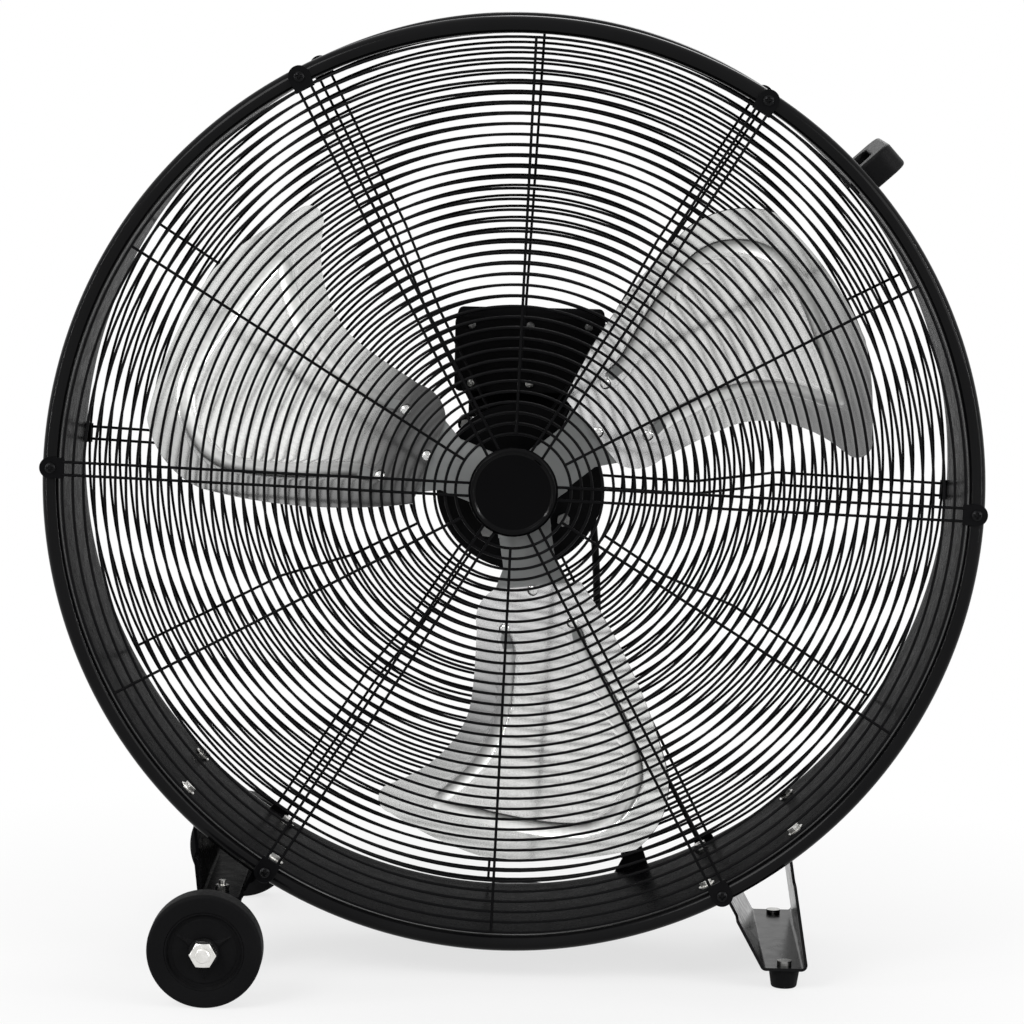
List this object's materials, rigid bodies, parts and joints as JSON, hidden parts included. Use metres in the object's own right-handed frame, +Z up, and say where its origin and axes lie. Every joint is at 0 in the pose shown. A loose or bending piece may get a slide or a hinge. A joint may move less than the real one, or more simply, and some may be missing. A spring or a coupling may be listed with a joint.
{
  "type": "drum fan",
  "caption": "Round industrial drum fan in a black steel drum with wire grilles, blades on a rear motor, carrying handle, wheels on an axle and a fixed leg with rubber feet.",
  "frame": {"origin": "on the floor, under the middle of the drum", "axes": "+Z up; the front with the centre cap faces -Y; +X towards the leg with the rubber feet, the wheels are at -X"},
  "size_m": [0.7736, 0.449, 0.795],
  "materials": {
    "black_gloss": "glossy black paint",
    "black_wire": "semi-gloss black coating",
    "zinc": "bright zinc plate",
    "blade_aluminium": "satin rolled sheet",
    "spider_grey": "grey paint",
    "motor_black": "black paint",
    "lamination": "stacked steel sheet",
    "copper": "enamelled copper wire",
    "bearing_steel": "ground steel",
    "black_plastic": "moulded black plastic",
    "grip_plastic": "moulded black plastic",
    "capacitor_white": "plain can",
    "foot_rubber": "matt black rubber",
    "tyre_rubber": "matt black rubber",
    "cord_black": "smooth black sheath"
  },
  "bodies": {
    "frame": {"drum_shell": "black_gloss", "foot_leg": "black_gloss", "wheel_leg": "black_gloss", "axle_hanger": "black_gloss", "front_grille": "black_wire", "front_grille_spokes": "black_wire", "rear_grille": "black_wire", "rear_dish": "black_wire", "rear_grille_spokes": "black_wire", "motor_mount_ring": "black_wire", "cap_backplate": "black_wire", "axle_sleeves": "black_wire", "front_grille_screws": "zinc", "rear_grille_screws": "zinc", "cap_screw": "zinc", "motor_mount_bolts": "zinc", "motor_tie_bolts": "zinc", "control_box_screws": "zinc", "handle_screws": "zinc", "leg_bolts": "zinc", "leg_nuts": "zinc", "foot_screws": "zinc", "hanger_bolts": "zinc", "hanger_nuts": "zinc", "axle_washers": "zinc", "axle_nuts": "zinc", "motor_front_cover": "motor_black", "motor_rear_cover": "motor_black", "control_box": "motor_black", "control_box_cover": "motor_black", "stator_core": "lamination", "stator_windings": "copper", "motor_bearings": "bearing_steel", "axle": "bearing_steel", "centre_cap": "black_plastic", "speed_switch": "black_plastic", "cable_gland": "black_plastic", "cord_clip": "black_plastic", "cord_tie": "black_plastic", "plug": "black_plastic", "handle": "grip_plastic", "run_capacitor": "capacitor_white", "front_foot": "foot_rubber", "rear_foot": "foot_rubber", "power_cord": "cord_black", "cord_coil": "cord_black"},
    "rotor": {"motor_shaft": "bearing_steel", "motor_rotor": "lamination", "blade_spider": "spider_grey", "hub_set_screw": "zinc", "blade_1": "blade_aluminium", "blade_2": "blade_aluminium", "blade_3": "blade_aluminium", "blade_rivets": "blade_aluminium"},
    "front_wheel": {"front_wheel_core": "black_plastic", "front_wheel_tyre": "tyre_rubber"},
    "rear_wheel": {"rear_wheel_core": "black_plastic", "rear_wheel_tyre": "tyre_rubber"},
    "knob": {"speed_knob": "black_plastic"}
  },
  "joints": [
    {"name": "fan_spin", "type": "hinge", "parent": "frame", "child": "rotor", "pos_m": [0.0045, 0, 0.4013], "axis": [0, 1, 0], "continuous": true},
    {"name": "front_wheel_spin", "type": "hinge", "parent": "frame", "child": "front_wheel", "pos_m": [-0.2392, -0.197, 0.0466], "axis": [0, 1, 0], "continuous": true},
    {"name": "rear_wheel_spin", "type": "hinge", "parent": "frame", "child": "rear_wheel", "pos_m": [-0.2392, 0.197, 0.0466], "axis": [0, 1, 0], "continuous": true},
    {"name": "knob_turn", "type": "hinge", "parent": "frame", "child": "knob", "pos_m": [0.0105, 0.115, 0.5083], "axis": [0, -1, 0], "range_deg": [0, 135]}
  ]
}
